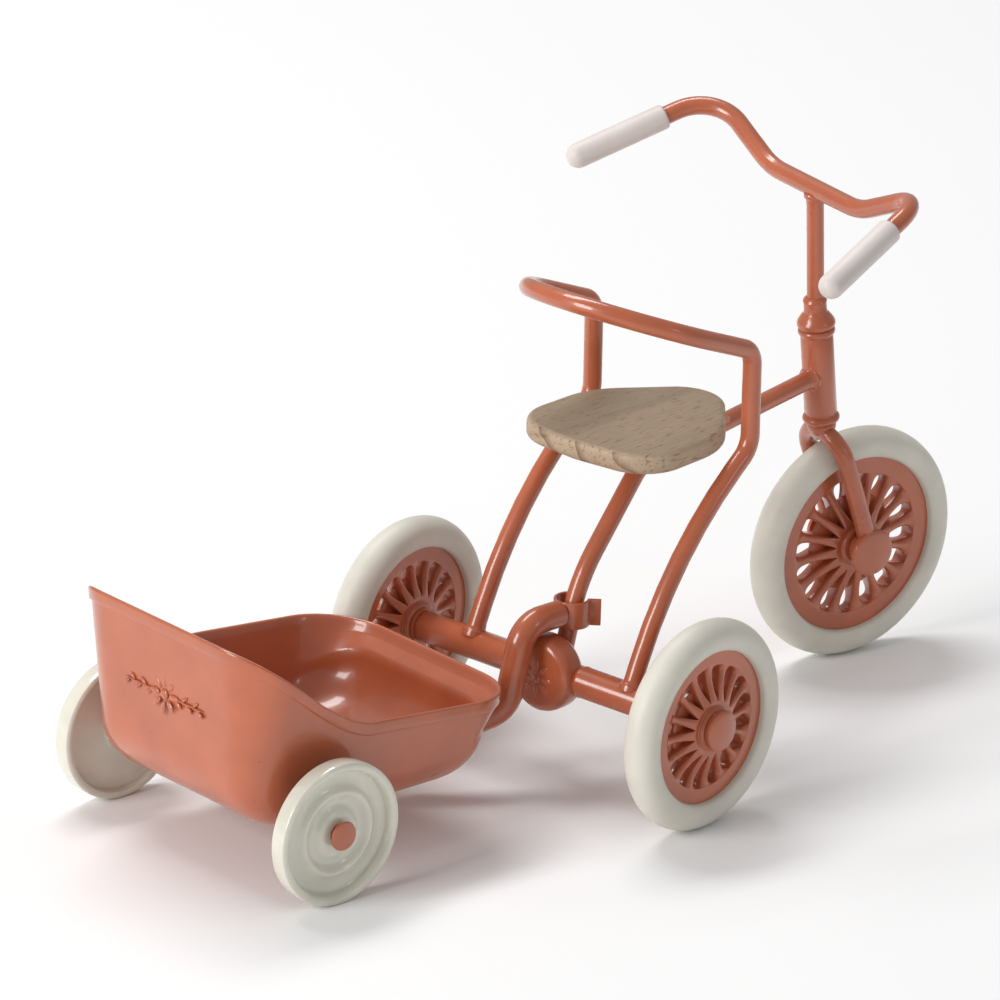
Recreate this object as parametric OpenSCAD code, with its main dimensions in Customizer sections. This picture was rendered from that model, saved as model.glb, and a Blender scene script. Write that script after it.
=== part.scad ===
// Doll-size painted metal tricycle with a clip-on two-wheel trailer.
// +X points forward, +Y to the rider's left, +Z up. The origin is on the ground under the middle
// of the rear axle. The front wheel is steered a little to the right and the trailer has yawed.

/* [Tubes] */
// Diameter of the bent rod of the main tube, the armrest hoop and the handlebar
rod_d = 3.0; // [2.6:0.1:3.2]
// Diameter of the rod of the fork
fork_d = 3.0; // [2.6:0.1:3.2]
// Diameter of the stem between the headset cone and the handlebar
stem_d = 2.8; // [2.4:0.1:3.0]
// Outer diameter of the tube round the rear axle
axle_tube_d = 5.0; // [4.6:0.1:5.4]
// Diameter of every wheel axle
axle_d = 3.0; // [2.6:0.1:3.2]
// Radial play of each shaft that turns in a bore
running_play = 0.05; // [0.02:0.01:0.09]

/* [Wheels] */
// Radius of the rear tyres
rear_r = 17; // [16:0.5:18]
// Radius of the front tyre
front_r = 19.5; // [19:0.5:20]
// Radius of the round section of every tyre
tyre_r = 2.85; // [2.6:0.05:3.0]
// Width of the band of tyre that shows around each disc
tyre_band = 4.6; // [4.2:0.1:5]
// Distance from the middle plane to the middle of each rear wheel
rear_half_track = 30.5; // [30:0.5:32]
// Number of leaf-shaped slots in each disc
slot_count = 16; // [12:1:18]

/* [Steering] */
// Angle between the steering axis and the vertical
rake = 8; // [5:1:12]
// Steering angle of the stored pose, negative to the right
steer = -12.8; // [-20:0.1:20]
// Distance of the front wheel's centre ahead of the steering axis
fork_offset = 4.4; // [3.5:0.1:5.5]
// Height of the handlebar above the middle of the steering axis
bar_rise = 32.5; // [30:0.5:35]
// Distance of the handlebar ahead of the steering axis, by the lean of the stem
bar_forward = 1.2; // [0:0.1:2]

/* [Seat] */
// Height of the top of the seat
seat_top = 54.6; // [54:0.1:55.5]
// Thickness of the wooden seat
seat_t = 3.3; // [3.0:0.1:4.2]

/* [Trailer] */
// Yaw of the trailer in the stored pose
trailer_yaw = -7.85; // [-9:0.05:5]
// Radius of the trailer's wheels
trailer_r = 11.5; // [11:0.1:12]
// Width of the trailer's wheels
trailer_wheel_w = 3.1; // [2.8:0.1:3.4]
// Distance from the trailer's middle plane to the middle of each wheel
trailer_half_track = 26.1; // [25.8:0.1:27]
// Thickness of the pressed sheet of the tub
sheet = 0.8; // [0.6:0.1:1]
// Half the width of the tub at its rim
tub_half_w = 22; // [21:0.1:22.4]
// Diameter of the rod of the drawbar
drawbar_d = 4.3; // [3.8:0.1:4.4]

/* [Hidden] */
$fn = 48;

enamel = "#C06A50";
tyre_white = "#CDC9BE";
wheel_cream = "#D5D2C5";
grip_white = "#D2C9C4";
beech = "#B09A80";
steel = "#9A9A9A";

// How far a straight rod runs into its bend, and how much thicker the bend is
bend_lap = 0.15;
bend_swell = 0.03;

// Frame, in the middle plane unless a y is given
axle_z = rear_r;
tube_end = [1.8, 0, 16.6];
tube_low = [5.6, 0, 30.7];
tube_knee = [19.6, 0, 46.3];
tube_front = [63, 0, 49.9];
hoop_y = 16.2;
hoop_foot = [-0.9, 17.2];
hoop_leg = [9.0, 38.9];
hoop_knee = [26.7, 51.8];
hoop_corner = [26.4, 67.9];
hoop_slope = 22;
hoop_back_x = 0.6;
drum_r = 6.2;
drum_t = 5.0;
drum_x = -1.4;
drum_z = 17.4;
drum_edge = 1.3;

// Rear wheels on their axle
hub_r = 3.6;
hub_half = 3.2;
washer_t = 0.5;
side_play = 0.15;
axle_tube_half = rear_half_track - hub_half - washer_t - side_play;
bore_r = axle_d / 2 + running_play;

// Steering axis: a point on it, and its own frame with z up the axis
axis_foot = [63.57, 0, 50];
head_top = 8.6;
head_bottom = -8.2;
head_r = 2.65;
bead_r = 3.0;
steerer_d = 3.1;
stem_foot = 12;
fork_y = 4.85;
front_hub_half = 3.0;
front_cap_r = 3.9;
wheel_drop = -31.4;
crown_z = -10.0;
grip_r = 2.05;
grip_len = 17.6;
bar_bend = [0, 11.4, 0];
bar_top = [1.29, 26.87, 7.35];
bar_grip = [-7.5, 29.1, 5.3];
bar_end = [-22.5, 32.9, 1.8];

// Trailer, in its own frame: x forward, origin on the ground under its axle
hitch = [4.2, 0];
hitch_local = [64, -6.8];
clip_z = 23.8;
clip_h = 4.4;
clip_r = 2.9;
clip_t = 0.5;
tub_floor = 10.2;
tub_back = -13.2;
tub_front = 41;
tub_draft = 1.8;
corner_back = 8;
corner_front = 10;
rim_back = 43.0;
rim_side = 25.5;
rim_front = 22.8;
rim_sweep = [-20, 12];
rim_band = 2.2;
rim_lip = 0.6;
strap_t = 0.6;
strap_w = 6;
boss_r = 2.9;
boss_y = 22.8;
rivet_foot = 20.9;
bar_rivet_x = [22, 26];
strap_x = 2.1;

// ---------- helpers ----------

function unit(v) = v / norm(v);

function tangent_len(a, b, c, r) = r * tan(acos(unit(b - a) * unit(c - b)) / 2);

// A round rod through points, with a bend of its own radius at each inner point. The straight
// pieces run a short lap into the bends, which are a hair thicker, so that they join cleanly.
module rod(pts, radii, d) {
    last = len(pts) - 1;
    cut = [for (i = [0 : last])
        i == 0 || i == last ? 0
            : tangent_len(pts[i - 1], pts[i], pts[i + 1], radii[i - 1]) - bend_lap];
    for (i = [0 : last - 1]) {
        t = unit(pts[i + 1] - pts[i]);
        stretch(pts[i] + t * cut[i], pts[i + 1] - t * cut[i + 1], d);
    }
    for (i = [1 : last - 1])
        bend(pts[i - 1], pts[i], pts[i + 1], radii[i - 1], d + bend_swell);
}

// A straight piece of rod between two points
module stretch(a, b, d) {
    z = unit(b - a);
    side = abs(z[2]) > 0.9 ? [1, 0, 0] : [0, 0, 1];
    x = unit(cross(side, z));
    y = cross(z, x);
    multmatrix([[x[0], y[0], z[0], a[0]], [x[1], y[1], z[1], a[1]], [x[2], y[2], z[2], a[2]]])
        cylinder(h = norm(b - a), d = d);
}

// A bend of radius r at b, between rods that come from a and go to c
module bend(a, b, c, r, d) {
    t = unit(b - a);
    u = unit(c - b);
    angle = acos(t * u);
    n = unit(cross(t, u));
    centre = b + unit(u - t) * r / cos(angle / 2);
    x = unit(b - t * r * tan(angle / 2) - centre);
    multmatrix([[x[0], t[0], n[0], centre[0]], [x[1], t[1], n[1], centre[1]],
            [x[2], t[2], n[2], centre[2]]])
        rotate_extrude(angle = angle, $fn = 120)
            translate([r, 0]) circle(d = d);
}

// A cylinder along y, centred on y
module cyl_y(r, w) {
    rotate([90, 0, 0]) cylinder(h = w, r = r, center = true);
}

// Places its children on the steering axis, turned to the stored steering angle
module steered() {
    translate(axis_foot) rotate([0, -rake, 0]) rotate(steer) children();
}

// Places its children at the middle of the front wheel
module at_front_hub() {
    steered() translate([fork_offset, 0, wheel_drop]) children();
}

// Places its children at the middle of a rear wheel: side is 1 on the left, -1 on the right
module at_rear_hub(side) {
    translate([0, side * rear_half_track, axle_z]) children();
}

// Places its children in the trailer's frame
module on_trailer() {
    translate([hitch[0], hitch[1], 0]) rotate(trailer_yaw)
        translate([-hitch_local[0], -hitch_local[1], 0]) children();
}

// ---------- wheels ----------

module tyre(outer_r) {
    disc_r = outer_r - tyre_band;
    color(tyre_white) difference() {
        rotate([90, 0, 0]) rotate_extrude() translate([outer_r - tyre_r, 0]) circle(r = tyre_r);
        cyl_y(disc_r, 4 * tyre_r);
    }
}

// A slot of the disc, along x: narrow by the hub, round at its outer end
module leaf_slot(r0, r1, half_w) {
    translate([r1 - half_w, 0]) circle(r = half_w);
    polygon([[r0, -half_w * 0.28], [r1 - half_w, -half_w], [r1 - half_w, half_w],
        [r0, half_w * 0.28]]);
}

// A pressed disc with a flat rim, a thinner slotted web and a hub
module wheel_disc(outer_r, hub_l) {
    disc_r = outer_r - tyre_band;
    rim_in = disc_r - 1.7;
    rim_half = 1.5;
    web_half = 1.1;
    color(enamel) difference() {
        rotate([90, 0, 0]) rotate_extrude() polygon([[0, -hub_l], [hub_r, -hub_l],
            [hub_r, -web_half], [rim_in - 0.4, -web_half], [rim_in, -rim_half],
            [disc_r, -rim_half], [disc_r, rim_half], [rim_in, rim_half],
            [rim_in - 0.4, web_half], [hub_r, web_half], [hub_r, hub_l], [0, hub_l]]);
        cyl_y(bore_r, 4 * hub_l);
        for (i = [0 : slot_count - 1])
            rotate([90, i * 360 / slot_count, 0])
                linear_extrude(height = 4, center = true)
                    leaf_slot(hub_r + 0.9, rim_in - 0.7, disc_r * 0.094);
    }
}

module front_tyre() at_front_hub() tyre(front_r);
module front_disc() at_front_hub() wheel_disc(front_r, front_hub_half);
module rear_tyre_left() at_rear_hub(1) tyre(rear_r);
module rear_disc_left() at_rear_hub(1) wheel_disc(rear_r, hub_half);
module rear_tyre_right() at_rear_hub(-1) tyre(rear_r);
module rear_disc_right() at_rear_hub(-1) wheel_disc(rear_r, hub_half);

// ---------- frame ----------

// A rod from the axle tube up under the seat and on to the head tube, cut to fit against both
module main_tube() {
    color(enamel) difference() {
        rod([tube_end, tube_low, tube_knee, tube_front], [22, 5], rod_d);
        translate([0, 0, axle_z]) cyl_y(axle_tube_d / 2, 4 * rod_d);
        translate([drum_x - drum_t / 2, 0, drum_z]) rotate([0, 90, 0])
            cylinder(h = drum_t, r = drum_r);
        translate(axis_foot) rotate([0, -rake, 0]) cylinder(h = 12, r = head_r, center = true);
    }
}

// One bent rod: both legs, both armrests and the back in one run, its feet cut to fit the axle tube
module armrest_hoop() {
    lift = tan(hoop_slope);
    back = [hoop_back_x, hoop_corner[1] + lift * (hoop_corner[0] - hoop_back_x)];
    half = [hoop_foot, hoop_leg, hoop_knee, hoop_corner, back];
    right = [for (p = half) [p[0], -hoop_y, p[1]]];
    left = [for (i = [len(half) - 1 : -1 : 0]) [half[i][0], hoop_y, half[i][1]]];
    color(enamel) difference() {
        rod(concat(right, left), [66, 4.5, 3.5, 16.1, 16.1, 3.5, 4.5, 66], rod_d);
        translate([0, 0, axle_z]) cyl_y(axle_tube_d / 2, 3 * hoop_y);
    }
}

module head_tube() {
    steerer_bore = steerer_d / 2 + running_play;
    bead_h = 1.3;
    color(enamel) translate(axis_foot) rotate([0, -rake, 0]) difference() {
        union() {
            translate([0, 0, head_bottom]) cylinder(h = head_top - head_bottom, r = head_r);
            for (z = [head_bottom, head_top - bead_h])
                translate([0, 0, z + bead_h / 2]) rotate_extrude() union() {
                    square([bead_r - bead_h / 2, bead_h / 2]);
                    translate([0, -bead_h / 2]) square([bead_r - bead_h / 2, bead_h / 2]);
                    translate([bead_r - bead_h / 2, 0]) circle(d = bead_h);
                }
        }
        translate([0, 0, head_bottom - 1])
            cylinder(h = head_top - head_bottom + 2, r = steerer_bore);
    }
}

module rear_axle_tube() {
    color(enamel) translate([0, 0, axle_z]) difference() {
        cyl_y(axle_tube_d / 2, 2 * axle_tube_half);
        cyl_y(axle_d / 2, 2 * axle_tube_half + 2);
    }
}

// A closed round housing at the middle of the axle tube, with rounded edges
module axle_drum() {
    color(enamel) difference() {
        translate([drum_x - drum_t / 2, 0, drum_z]) rotate([0, 90, 0]) rotate_extrude() union() {
            square([drum_r - drum_edge, drum_t]);
            translate([0, drum_edge]) square([drum_r, drum_t - 2 * drum_edge]);
            for (z = [drum_edge, drum_t - drum_edge])
                translate([drum_r - drum_edge, z]) circle(r = drum_edge);
        }
        translate([0, 0, axle_z]) cyl_y(axle_tube_d / 2, 4 * drum_r);
    }
}

module rear_axle() {
    half = rear_half_track + hub_half + 0.6;
    color(steel) translate([0, 0, axle_z]) cyl_y(axle_d / 2, 2 * half);
}

// Push-on domed caps that hold the rear wheels
module rear_axle_caps() {
    for (side = [-1, 1])
        color(enamel) translate([0, side * (rear_half_track + hub_half + side_play), axle_z])
            rotate([-90 * side, 0, 0]) difference() {
                cap_profile(3.3, 1.4);
                translate([0, 0, -1]) cylinder(h = 1 + 0.6 - side_play, r = axle_d / 2);
            }
}

// A flat-bottomed round cap with a domed top
module cap_profile(r, h) {
    dome = h * 0.6;
    ball = (r * r + dome * dome) / (2 * dome);
    cylinder(h = h - dome, r = r);
    translate([0, 0, h - dome]) intersection() {
        cylinder(h = dome, r = r);
        translate([0, 0, dome - ball]) sphere(r = ball, $fn = 96);
    }
}

// Flat rings between the axle tube and each hub
module rear_washers() {
    for (side = [-1, 1])
        color(steel) translate([0, side * (axle_tube_half + washer_t / 2), axle_z])
            difference() {
                cyl_y(2.9, washer_t);
                cyl_y(axle_d / 2, 2 * washer_t);
            }
}

// ---------- seat ----------

seat_back = [11.8, 6.6];
seat_nose = [28.8, 0];
seat_back_r = 7.9;
seat_nose_r = 7.2;
seat_mid_back_x = 17.7;
seat_mid_back_r = 14.4;
seat_round = 1.1;
bracket_x = [21, 33];
screw_y = 4.6;

// A round board with rounded edges, the corner of the seat
module seat_corner(r) {
    rotate_extrude($fn = 40) union() {
        square([r - seat_round, seat_t]);
        translate([0, seat_round]) square([r, seat_t - 2 * seat_round]);
        for (z = [seat_round, seat_t - seat_round])
            translate([r - seat_round, z]) circle(r = seat_round, $fn = 16);
    }
}

module seat() {
    z = seat_top - seat_t;
    color(beech) difference() {
        hull() {
            for (y = [-1, 1])
                translate([seat_back[0], y * seat_back[1], z]) seat_corner(seat_back_r);
            translate([seat_mid_back_x, 0, z]) seat_corner(seat_mid_back_r);
            translate([seat_nose[0], seat_nose[1], z]) seat_corner(seat_nose_r);
        }
        for (x = bracket_x)
            translate([x, 0, z - 1]) cylinder(h = 3.4, d = 1.6);
    }
}

// A saddle block on the main tube, with a plate that the seat is screwed to
module seat_bracket() {
    z = seat_top - seat_t;
    lift = (tube_front[2] - tube_knee[2]) / (tube_front[0] - tube_knee[0]);
    mid = (bracket_x[0] + bracket_x[1]) / 2;
    long = bracket_x[1] - bracket_x[0] + 6;
    color(enamel) difference() {
        union() {
            translate([mid, 0, z - 0.5]) cube([long, 9, 1], center = true);
            translate([mid, 0, z - 2.4]) cube([6, 4.6, 3.8], center = true);
        }
        translate([0, 0, tube_knee[2] - lift * tube_knee[0]])
            stretch([0, 0, 0], [70, 0, 70 * lift], rod_d);
        for (x = bracket_x)
            translate([x, 0, z - 2]) cylinder(h = 3, d = 1.6);
    }
}

// Two pan-head screws up through the bracket into the wood
module seat_screws() {
    z = seat_top - seat_t;
    for (x = bracket_x)
        color(steel) translate([x, 0, z - 1]) {
            cylinder(h = 3.3, d = 1.6);
            translate([0, 0, -0.5]) cylinder(h = 0.5, d = 2.8);
        }
}

// ---------- steering ----------

// One bent rod: an upside-down U with a flattened eye at each end
module fork() {
    hub = [fork_offset, fork_y, wheel_drop];
    half = [hub + [-0.25, 0, 3.2], [2.4, fork_y, -20.5], [-0.1, fork_y, crown_z]];
    left = half;
    right = [for (i = [len(half) - 1 : -1 : 0]) [half[i][0], -half[i][1], half[i][2]]];
    color(enamel) steered() difference() {
        union() {
            rod(concat(left, right), [30, 4.7, 4.7, 30], fork_d);
            for (side = [-1, 1])
                translate([hub[0], side * hub[1], hub[2]]) {
                    cyl_y(2.9, 1.5);
                    translate([-0.12, 0, 1.8]) cube([2.6, 1.5, 3.6], center = true);
                }
        }
        translate([fork_offset, 0, wheel_drop]) {
            cyl_y(axle_d / 2, 4 * fork_y);
            for (side = [-1, 1])
                translate([0, side * (fork_y + 0.75 + 2), 0]) cyl_y(front_cap_r, 4);
        }
        translate([0, 0, crown_z - 1]) cylinder(h = 20, d = steerer_d);
    }
}

// The ring that the head tube runs on, above the fork
module crown_race() {
    color(enamel) steered() translate([0, 0, crown_z + fork_d / 2 - 0.3]) difference() {
        cylinder(h = head_bottom - side_play - crown_z - fork_d / 2 + 0.3, r = 2.4);
        translate([0, 0, -1]) cylinder(h = 4, d = steerer_d);
        translate([0, 0, 0.3 - fork_d / 2]) rotate([90, 0, 0])
            cylinder(h = 10, d = fork_d, center = true);
    }
}

module steerer() {
    low = crown_z - 1;
    color(steel) steered() translate([0, 0, low]) cylinder(h = stem_foot - low, d = steerer_d);
}

// A flared cone over the head tube, with a collar that holds the stem
module headset_cone() {
    color(enamel) steered() difference() {
        translate([0, 0, head_top + side_play]) rotate_extrude() polygon([[0, 0], [2.8, 0],
            [3.1, 0.4], [3.1, 0.9], [2.2, 2.2], [1.85, 2.5], [1.85, 4.6], [0, 4.6]]);
        cylinder(h = stem_foot, d = steerer_d);
        stem_rod();
    }
}

// The stem's own rod, from the collar to the middle of the handlebar
module stem_rod() {
    stretch([0, 0, stem_foot], [bar_forward, 0, bar_rise], stem_d);
}

module stem() {
    color(enamel) steered() difference() {
        stem_rod();
        cylinder(h = stem_foot, d = steerer_d);
        translate([bar_forward, 0, bar_rise]) cyl_y(rod_d / 2, 10);
    }
}

module handlebar() {
    left = [bar_end, bar_top, bar_bend];
    right = [for (i = [len(left) - 1 : -1 : 0]) [left[i][0], -left[i][1], left[i][2]]];
    color(enamel) steered() translate([bar_forward, 0, bar_rise])
        rod(concat(left, right), [7.5, 12, 12, 7.5], rod_d);
}

// A slipped-on sleeve with a domed free end and a rounded shoulder
module grip(side) {
    a = [bar_grip[0], side * bar_grip[1], bar_grip[2]];
    b = [bar_end[0], side * bar_end[1], bar_end[2]];
    z = unit(b - a);
    x = unit(cross([0, 0, 1], z));
    y = cross(z, x);
    shoulder = 0.7;
    depth = norm(b - a);
    color(grip_white) steered() translate([bar_forward, 0, bar_rise])
        multmatrix([[x[0], y[0], z[0], a[0]], [x[1], y[1], z[1], a[1]], [x[2], y[2], z[2], a[2]]])
            rotate_extrude() polygon(concat(
                [[0, grip_len], [0, depth], [rod_d / 2, depth], [rod_d / 2, 0]],
                arc([grip_r - shoulder + 0.15, shoulder], shoulder - 0.15, -90, 0, 6),
                arc([0, grip_len - grip_r], grip_r, 0, 82, 10)));
}

module grip_left() grip(1);
module grip_right() grip(-1);

module front_axle() {
    color(steel) at_front_hub() cyl_y(axle_d / 2, 2 * (fork_y + 1.3));
}

// Flat round caps outside the fork's eyes
module front_axle_caps() {
    for (side = [-1, 1])
        color(enamel) at_front_hub() translate([0, side * (fork_y + 0.75), 0])
            rotate([-90 * side, 0, 0]) difference() {
                cap_profile(front_cap_r, 1.2);
                translate([0, 0, -1]) cylinder(h = 1.55, r = axle_d / 2);
            }
}

// Spacer rings between the hub and the fork's eyes
module front_washers() {
    inner = front_hub_half + side_play;
    outer = fork_y - 0.75;
    for (side = [-1, 1])
        color(steel) at_front_hub() translate([0, side * (inner + outer) / 2, 0]) difference() {
            cyl_y(2.5, outer - inner);
            cyl_y(axle_d / 2, 4);
        }
}

// ---------- trailer ----------

function smooth(u) = u <= 0 ? 0 : u >= 1 ? 1 : u * u * (3 - 2 * u);

// Height of the tub's rim at x: high at the back, sweeping down to the sides
function rim_z(x) = x < rim_sweep[1]
    ? rim_back - (rim_back - rim_side)
        * smooth((x - rim_sweep[0]) / (rim_sweep[1] - rim_sweep[0]))
    : rim_side - (rim_side - rim_front) * (x - rim_sweep[1]) / (tub_front - rim_sweep[1]);

// An arc of points round c, from angle a0 to a1
function arc(c, r, a0, a1, n) = [for (i = [0 : n]) c + r * [cos(a0 + (a1 - a0) * i / n),
    sin(a0 + (a1 - a0) * i / n)]];

// Side outline of the tub, set in by t from its outside; drop lowers the rim
module tub_side(t, drop) {
    low = tub_floor - sheet + t;
    x0 = tub_back + t;
    x1 = tub_front - t;
    r0 = 10.5 - t;
    r1 = 11.5 - t;
    step = (x1 - x0) / 24;
    rim = [for (i = [0 : 24]) [x0 + step * i, rim_z(x0 + step * i) - drop]];
    polygon(concat(
        arc([x0 + tub_draft + r0, low + r0], r0, 175, 270, 12),
        arc([x1 - tub_draft - r1, low + r1], r1, 270, 365, 12),
        [for (i = [24 : -1 : 0]) rim[i]]));
}

// Plan outline of the tub, set in by t
module tub_plan(t) {
    w = tub_half_w - t;
    x0 = tub_back + t;
    x1 = tub_front - t;
    r0 = corner_back - t;
    r1 = corner_front - t;
    polygon(concat(
        arc([x0 + r0, w - r0], r0, 180, 90, 12),
        arc([x1 - r1, w - r1], r1, 90, 0, 12),
        arc([x1 - r1, r1 - w], r1, 0, -90, 12),
        arc([x0 + r0, r0 - w], r0, -90, -180, 12)));
}

// Cross-section of the tub, set in by t
module tub_section(t) {
    low = tub_floor - sheet + t;
    w = tub_half_w - t;
    r = 6.5 - t;
    taper = 1.3;
    polygon(concat(
        arc([r + taper - w, low + r], r, 180, 270, 10),
        arc([w - r - taper, low + r], r, 270, 360, 10),
        [[w, rim_side], [w, 60], [-w, 60], [-w, rim_side]]));
}

// The block that the tub's outside or inside fills
module tub_block(t, drop) {
    intersection() {
        rotate([90, 0, 0]) linear_extrude(height = 60, center = true) tub_side(t, drop);
        translate([0, 0, -5]) linear_extrude(height = 60) tub_plan(t);
        rotate([90, 0, 90]) linear_extrude(height = 200, center = true) tub_section(t);
    }
}

// The raised band under the rim, turned a little outwards
module rim_ring() {
    difference() {
        intersection() {
            rotate([90, 0, 0]) linear_extrude(height = 60, center = true)
                tub_side(-rim_lip, 0);
            translate([0, 0, -5]) linear_extrude(height = 60) tub_plan(-rim_lip);
        }
        rotate([90, 0, 0]) linear_extrude(height = 70, center = true)
            translate([0, -rim_band]) polygon(concat(
                [[-60, -20], [60, -20], [60, rim_z(tub_front)]],
                [for (i = [24 : -1 : 0]) [tub_back + 2.3 * i, rim_z(tub_back + 2.3 * i)]],
                [[-60, rim_z(tub_back)]]));
        translate([0, 0, -5]) linear_extrude(height = 60) tub_plan(sheet);
    }
}

module tub() {
    color(enamel) on_trailer() difference() {
        union() {
            tub_block(0, 0);
            rim_ring();
        }
        tub_block(sheet, -30);
        for (x = bar_rivet_x) translate([x, 0, 0]) cylinder(h = 20, d = 2);
        for (y = [-10, 10]) translate([strap_x, y, 0]) cylinder(h = 20, d = 2);
    }
}

// The bent rod from the tub's floor up to the clip
module drawbar() {
    z = tub_floor - sheet - drawbar_d / 2;
    path = [[19, 0, z], [38, 0, z], [50.6, -7.2, 13], [53.7, -7.2, 26.2], [61.4, -6.9, 26.2]];
    color(enamel) on_trailer() difference() {
        rod(path, [6, 5, 4.6], drawbar_d);
        translate([hitch_local[0], hitch_local[1], 0]) cylinder(h = 60, r = clip_r);
        for (x = bar_rivet_x) translate([x, 0, 0]) cylinder(h = 20, d = 2);
    }
}

// Rivets through the floor and the drawbar, flush with the floor
module drawbar_rivets() {
    z = tub_floor - sheet - drawbar_d;
    for (x = bar_rivet_x)
        color(enamel) on_trailer() translate([x, 0, z]) cylinder(h = tub_floor - z, d = 2);
}

// An open band round the main tube, with both ends turned outwards
module hitch_clip() {
    mouth = 42;
    inner = clip_r - clip_t;
    lip = 2.0;
    color(enamel) on_trailer() translate([hitch_local[0], hitch_local[1], clip_z]) {
        rotate(mouth) rotate_extrude(angle = 360 - 2 * mouth)
            translate([inner, 0]) square([clip_t, clip_h]);
        for (side = [-1, 1])
            rotate(side * mouth) translate([inner, side > 0 ? -clip_t : 0, 0])
                cube([lip, clip_t, clip_h]);
    }
}

// A strap wrapped round the underside of the tub, with a boss at each end for a wheel's rivet
module axle_strap() {
    color(enamel) on_trailer() difference() {
        union() {
            intersection() {
                translate([strap_x, 0, 0]) rotate([90, 0, 90])
                    linear_extrude(height = strap_w, center = true) tub_section(-strap_t);
                translate([0, 0, 7.5]) cube([100, 100, 15], center = true);
            }
            for (side = [-1, 1])
                translate([0, side * (boss_y + 17) / 2, trailer_r]) cyl_y(boss_r, boss_y - 17);
        }
        rotate([90, 0, 90]) linear_extrude(height = 200, center = true) tub_section(0);
        for (side = [-1, 1])
            translate([0, side * (rivet_foot + 15), trailer_r]) cyl_y(axle_d / 2, 30);
        for (y = [-10, 10]) translate([strap_x, y, 0]) cylinder(h = 20, d = 2);
    }
}

// Rivets through the floor and the strap, flush with the floor
module strap_rivets() {
    z = tub_floor - sheet - strap_t;
    for (y = [-10, 10])
        color(enamel) on_trailer() translate([strap_x, y, z]) {
            cylinder(h = tub_floor - z, d = 2);
            rotate([180, 0, 0]) cap_profile(1.9, 0.6);
        }
}

// The flat-headed rivets that the trailer's wheels turn on
module wheel_rivets() {
    outer = trailer_half_track + trailer_wheel_w / 2 + side_play;
    for (side = [-1, 1])
        color(enamel) on_trailer() translate([0, side * rivet_foot, trailer_r])
            rotate([-90 * side, 0, 0]) {
                cylinder(h = outer - rivet_foot, r = axle_d / 2);
                translate([0, 0, outer - rivet_foot]) cap_profile(2.3, 0.7);
            }
}

// Spacer rings between the strap's bosses and the wheels
module trailer_washers() {
    outer = trailer_half_track - trailer_wheel_w / 2 - side_play;
    for (side = [-1, 1])
        color(steel) on_trailer() translate([0, side * (boss_y + outer) / 2, trailer_r])
            difference() {
                cyl_y(2.4, outer - boss_y);
                cyl_y(axle_d / 2, 10);
            }
}

// A pressed wheel: a broad rim, a recessed web with two round beads, and a hollow back
module trailer_wheel(side) {
    w = trailer_wheel_w / 2;
    face = [[0, w], [3.0, w], [3.3, w - 0.8], [4.6, w - 0.8], [4.9, w - 0.5], [5.3, w - 0.8],
        [6.6, w - 0.8], [6.9, w - 0.5], [7.3, w - 0.8], [8.0, w - 0.8], [8.6, w - 0.1],
        [8.9, w], [trailer_r - 0.5, w], [trailer_r, w - 0.5]];
    back = [[trailer_r, 0.5 - w], [trailer_r - 0.5, -w], [trailer_r - 1.2, -w],
        [trailer_r - 1.5, w - 1.8], [3.6, w - 1.8], [3.2, -w], [0, -w]];
    color(wheel_cream) on_trailer() translate([0, side * trailer_half_track, trailer_r])
        rotate([-90 * side, 0, 0]) difference() {
            rotate_extrude() polygon(concat(face, back));
            cylinder(h = 10, r = bore_r, center = true);
        }
}

module trailer_wheel_left() trailer_wheel(1);
module trailer_wheel_right() trailer_wheel(-1);

main_tube();
armrest_hoop();
head_tube();
rear_axle_tube();
axle_drum();
rear_axle();
rear_axle_caps();
rear_washers();
seat();
seat_bracket();
seat_screws();
fork();
crown_race();
steerer();
headset_cone();
stem();
handlebar();
grip_left();
grip_right();
front_axle();
front_axle_caps();
front_washers();
front_tyre();
front_disc();
rear_tyre_left();
rear_disc_left();
rear_tyre_right();
rear_disc_right();
tub();
drawbar();
drawbar_rivets();
hitch_clip();
axle_strap();
strap_rivets();
wheel_rivets();
trailer_washers();
trailer_wheel_left();
trailer_wheel_right();
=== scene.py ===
"""Doll-size enamelled tricycle with a clip-on tub trailer, on a pale studio floor.

Lengths in the code are millimetres, turned to metres by MM. +X is the way the tricycle travels,
+Y is to the rider's left, and the origin is on the ground under the middle of the rear axle.
"""

import math

import bpy
from bpy.props import FloatProperty, FloatVectorProperty, IntProperty, PointerProperty
from mathutils import Matrix, Vector


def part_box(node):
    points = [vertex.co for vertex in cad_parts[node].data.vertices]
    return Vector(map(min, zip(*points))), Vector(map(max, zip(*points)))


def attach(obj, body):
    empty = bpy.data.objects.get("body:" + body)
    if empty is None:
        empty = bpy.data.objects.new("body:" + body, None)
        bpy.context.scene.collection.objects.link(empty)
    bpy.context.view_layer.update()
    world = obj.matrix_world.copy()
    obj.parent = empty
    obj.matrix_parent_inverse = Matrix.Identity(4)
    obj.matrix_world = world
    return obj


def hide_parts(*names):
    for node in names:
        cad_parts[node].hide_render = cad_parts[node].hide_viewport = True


bl_info = {
    "name": "Toy tricycle with trailer",
    "version": (1, 0, 0),
    "blender": (4, 5, 0),
    "location": "3D View > Sidebar > Tricycle",
    "description": "Builds a doll-size enamelled tricycle and its tub trailer piece by piece",
    "category": "Add Mesh",
}

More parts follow.
